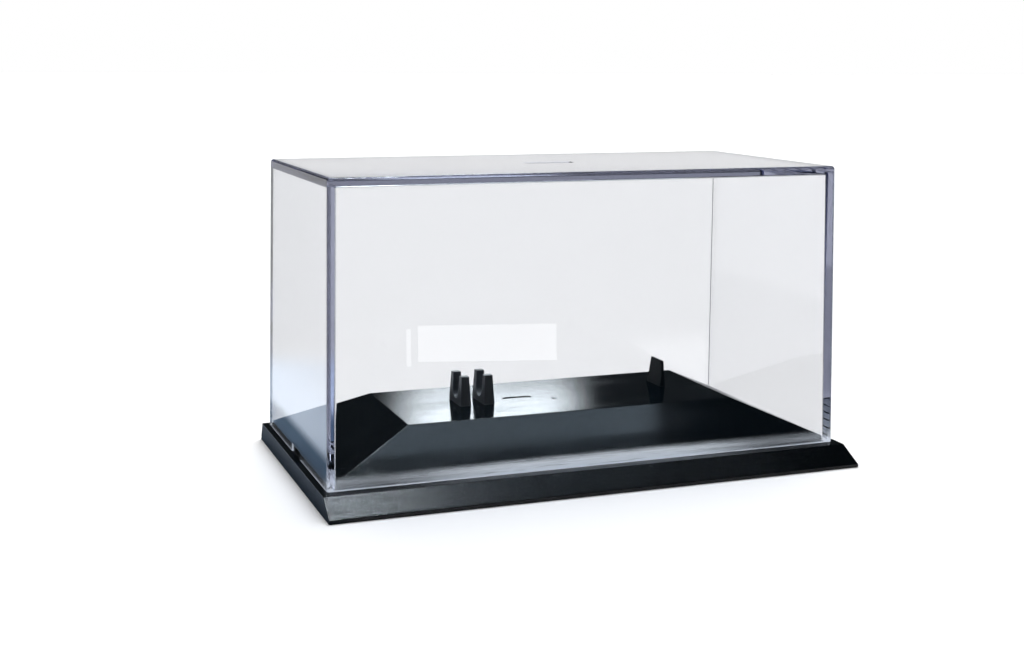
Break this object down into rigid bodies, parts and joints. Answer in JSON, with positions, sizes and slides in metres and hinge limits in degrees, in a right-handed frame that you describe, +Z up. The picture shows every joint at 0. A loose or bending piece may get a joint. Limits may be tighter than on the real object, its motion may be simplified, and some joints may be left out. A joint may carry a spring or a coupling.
{
  "type": "display case",
  "caption": "Rectangular clear lift-off cover on a stepped hollow black base whose raised deck carries slotted chassis clips and a thin rear support for a scale model.",
  "frame": {"origin": "middle of the base's footprint, on the surface that the case stands on", "axes": "+X along the case's length to the right, +Y to the back, +Z up; the slanted front faces -Y"},
  "size_m": [0.103, 0.058, 0.0566],
  "materials": {
    "black_base_plastic": "black moulded plastic, glossy deck and slopes, fine matt grain on the slanted front",
    "clear_cover_plastic": "clear polished moulded plastic",
    "grey_holder_plastic": "satin dark grey moulded plastic",
    "dark_holder_plastic": "satin near-black moulded plastic"
  },
  "bodies": {
    "base": {"base_plinth": "black_base_plastic", "model_clip_left": "grey_holder_plastic", "model_clip_right": "grey_holder_plastic", "rear_support": "dark_holder_plastic"},
    "cover": {"clear_cover": "clear_cover_plastic"}
  },
  "joints": [
    {"name": "cover_lift", "type": "slide", "parent": "base", "child": "cover", "axis": [0, 0, 1], "range_m": [0, 0.06]}
  ]
}
